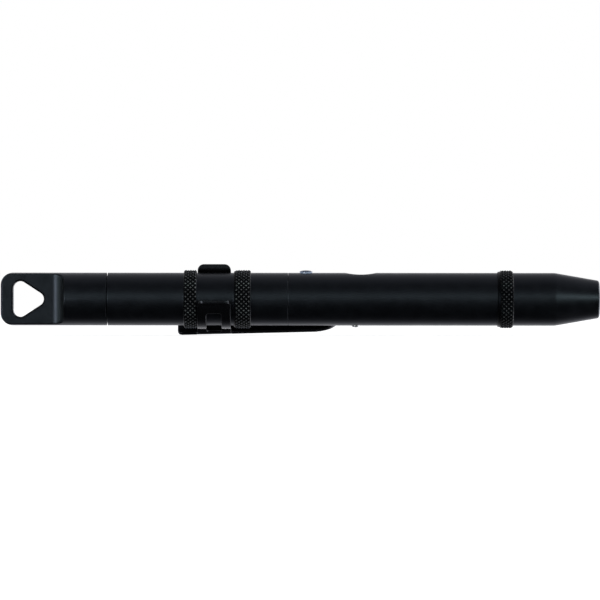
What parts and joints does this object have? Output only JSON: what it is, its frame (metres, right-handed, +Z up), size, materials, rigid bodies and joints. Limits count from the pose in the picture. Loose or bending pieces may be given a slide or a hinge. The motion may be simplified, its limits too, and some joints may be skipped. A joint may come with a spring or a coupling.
{
  "type": "counterfeit detector pen",
  "caption": "Slim ultraviolet penlight for checking banknotes: flat lanyard tang, swivelling pocket clip, thumb-dish side button and tapered screw-on nose.",
  "frame": {"origin": "centre of the nose lens's flat front face, on the pen's axis", "axes": "+X along the pen towards the nose, +Z up through the thumb button, Y across the lanyard tang's flats"},
  "size_m": [0.1496, 0.0176, 0.0176],
  "materials": {
    "anodised_black": "satin black anodised",
    "clip_black": "satin black coated sheet",
    "black_rubber": "matte",
    "spring_steel": "bright",
    "brass": "satin",
    "cell_skin": "printed wrap left plain",
    "board_green": "solder mask",
    "board_white": "white solder mask on aluminium",
    "chip_black": "moulded",
    "capacitor_tan": "fired ceramic",
    "grey_plastic": "moulded",
    "bare_aluminium": "machined",
    "led_white": "moulded",
    "clear_violet": "clear, faint violet",
    "clear_blue": "clear blue",
    "wire_red": "insulated",
    "wire_black": "insulated"
  },
  "bodies": {
    "main": {"rear_barrel": "anodised_black", "front_barrel": "anodised_black", "battery_cell": "cell_skin", "battery_cap": "spring_steel", "contact_pad": "brass", "contact_board": "board_green", "carrier_tray": "grey_plastic", "carrier_stud": "spring_steel", "driver_board": "board_green", "driver_capacitor": "capacitor_tan", "indicator_led": "led_white", "driver_chip": "chip_black", "driver_inductor": "chip_black", "switch_body": "chip_black", "button_guide": "grey_plastic", "indicator_lens": "clear_blue", "heat_sink": "bare_aluminium", "wire_positive": "wire_red", "wire_negative": "wire_black", "led_board": "board_white", "led_base": "led_white", "led_dome": "clear_violet", "neck_oring": "black_rubber"},
    "tail_set": {"tail_spring": "spring_steel", "tail_contact": "brass", "tail_oring": "black_rubber"},
    "tail": {"tail_cap": "anodised_black"},
    "clip": {"pocket_clip": "clip_black"},
    "button": {"button_cap": "black_rubber", "switch_plunger": "grey_plastic"},
    "reflector_set": {"reflector": "bare_aluminium"},
    "nose": {"nose_head": "anodised_black", "nose_lens": "clear_violet", "lens_gasket": "black_rubber"}
  },
  "joints": [
    {"name": "clip_swivel", "type": "hinge", "parent": "main", "child": "clip", "pos_m": [-0.09605, 0, 0], "axis": [1, 0, 0], "continuous": true},
    {"name": "button_press", "type": "slide", "parent": "main", "child": "button", "axis": [0, 0, -1], "range_m": [0, 0.0003], "stiffness_N_per_m": 5000},
    {"name": "tail_turn", "type": "hinge", "parent": "tail_set", "child": "tail", "pos_m": [-0.1295, 0, 0], "axis": [-1, 0, 0], "range_deg": [0, 2520]},
    {"name": "tail_travel", "type": "slide", "parent": "main", "child": "tail_set", "axis": [-1, 0, 0], "range_m": [0, 0.00701]},
    {"name": "nose_turn", "type": "hinge", "parent": "reflector_set", "child": "nose", "pos_m": [-0.0125, 0, 0], "axis": [1, 0, 0], "range_deg": [0, 2340]},
    {"name": "nose_travel", "type": "slide", "parent": "main", "child": "reflector_set", "axis": [1, 0, 0], "range_m": [0, 0.00651]}
  ],
  "couplings": [
    {"joint": "tail_travel", "follows": "tail_turn", "m_per_rad": 0.00015915},
    {"joint": "nose_travel", "follows": "nose_turn", "m_per_rad": 0.00015915}
  ]
}
